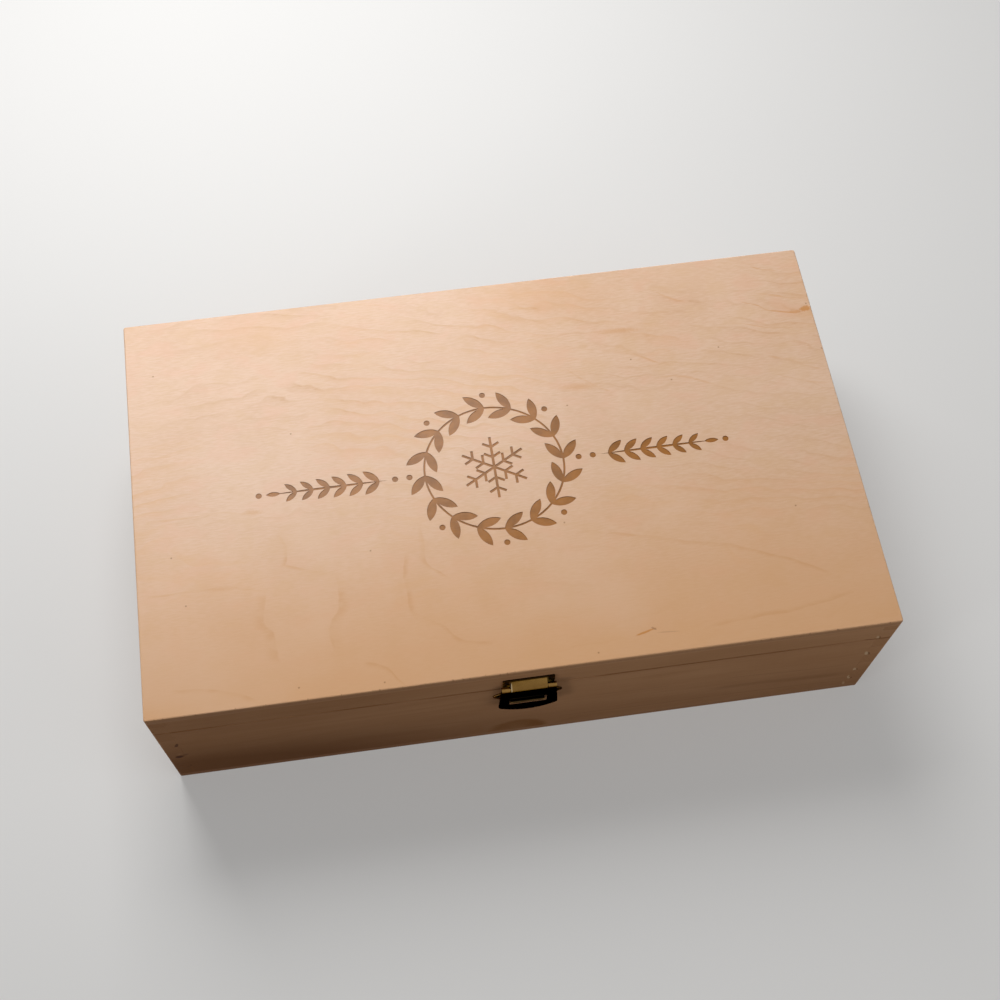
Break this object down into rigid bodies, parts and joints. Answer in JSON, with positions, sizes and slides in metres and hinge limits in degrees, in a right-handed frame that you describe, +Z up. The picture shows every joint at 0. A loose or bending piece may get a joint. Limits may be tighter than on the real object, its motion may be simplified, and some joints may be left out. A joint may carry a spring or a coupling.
{
  "type": "wooden gift box",
  "caption": "Shallow rectangular wooden gift box with finger-jointed walls, a back-hinged lid and a small metal flap latch at the front.",
  "frame": {"origin": "middle of the bottom face, on the surface that the box stands on", "axes": "+X along the length to the right, -Y towards the front with the latch, +Y towards the hinges, +Z up"},
  "size_m": [0.35, 0.2238, 0.08],
  "materials": {
    "wall_wood": "sanded bare wood",
    "board_wood": "sanded bare birch plywood with a burnt ornament",
    "antique_brass": "antique brass plating, satin",
    "dark_bronze": "dark bronze plating, glossy",
    "nail_brass": "antique brass plating, satin"
  },
  "bodies": {
    "box": {"bottom_panel": "board_wood", "body_front_panel": "wall_wood", "body_back_panel": "wall_wood", "body_left_panel": "wall_wood", "body_right_panel": "wall_wood", "hinge_left_body_leaf": "antique_brass", "hinge_right_body_leaf": "antique_brass", "hinge_left_pin": "antique_brass", "hinge_right_pin": "antique_brass", "hinge_body_nails": "nail_brass", "latch_catch_plate": "antique_brass", "latch_catch_nails": "nail_brass"},
    "lid": {"lid_top_board": "board_wood", "lid_front_rail": "wall_wood", "lid_back_rail": "wall_wood", "lid_left_rail": "wall_wood", "lid_right_rail": "wall_wood", "hinge_left_lid_leaf": "antique_brass", "hinge_right_lid_leaf": "antique_brass", "hinge_lid_nails": "nail_brass", "latch_lid_plate": "antique_brass", "latch_pin": "antique_brass", "latch_lid_nails": "nail_brass"},
    "latch_flap": {"latch_lever": "dark_bronze"}
  },
  "joints": [
    {"name": "lid_hinge", "type": "hinge", "parent": "box", "child": "lid", "pos_m": [0, 0.10985, 0.06235], "axis": [-1, 0, 0], "range_deg": [0, 180]},
    {"name": "latch_flap_hinge", "type": "hinge", "parent": "lid", "child": "latch_flap", "pos_m": [0, -0.1104, 0.066], "axis": [-1, 0, 0], "range_deg": [0, 170]}
  ]
}
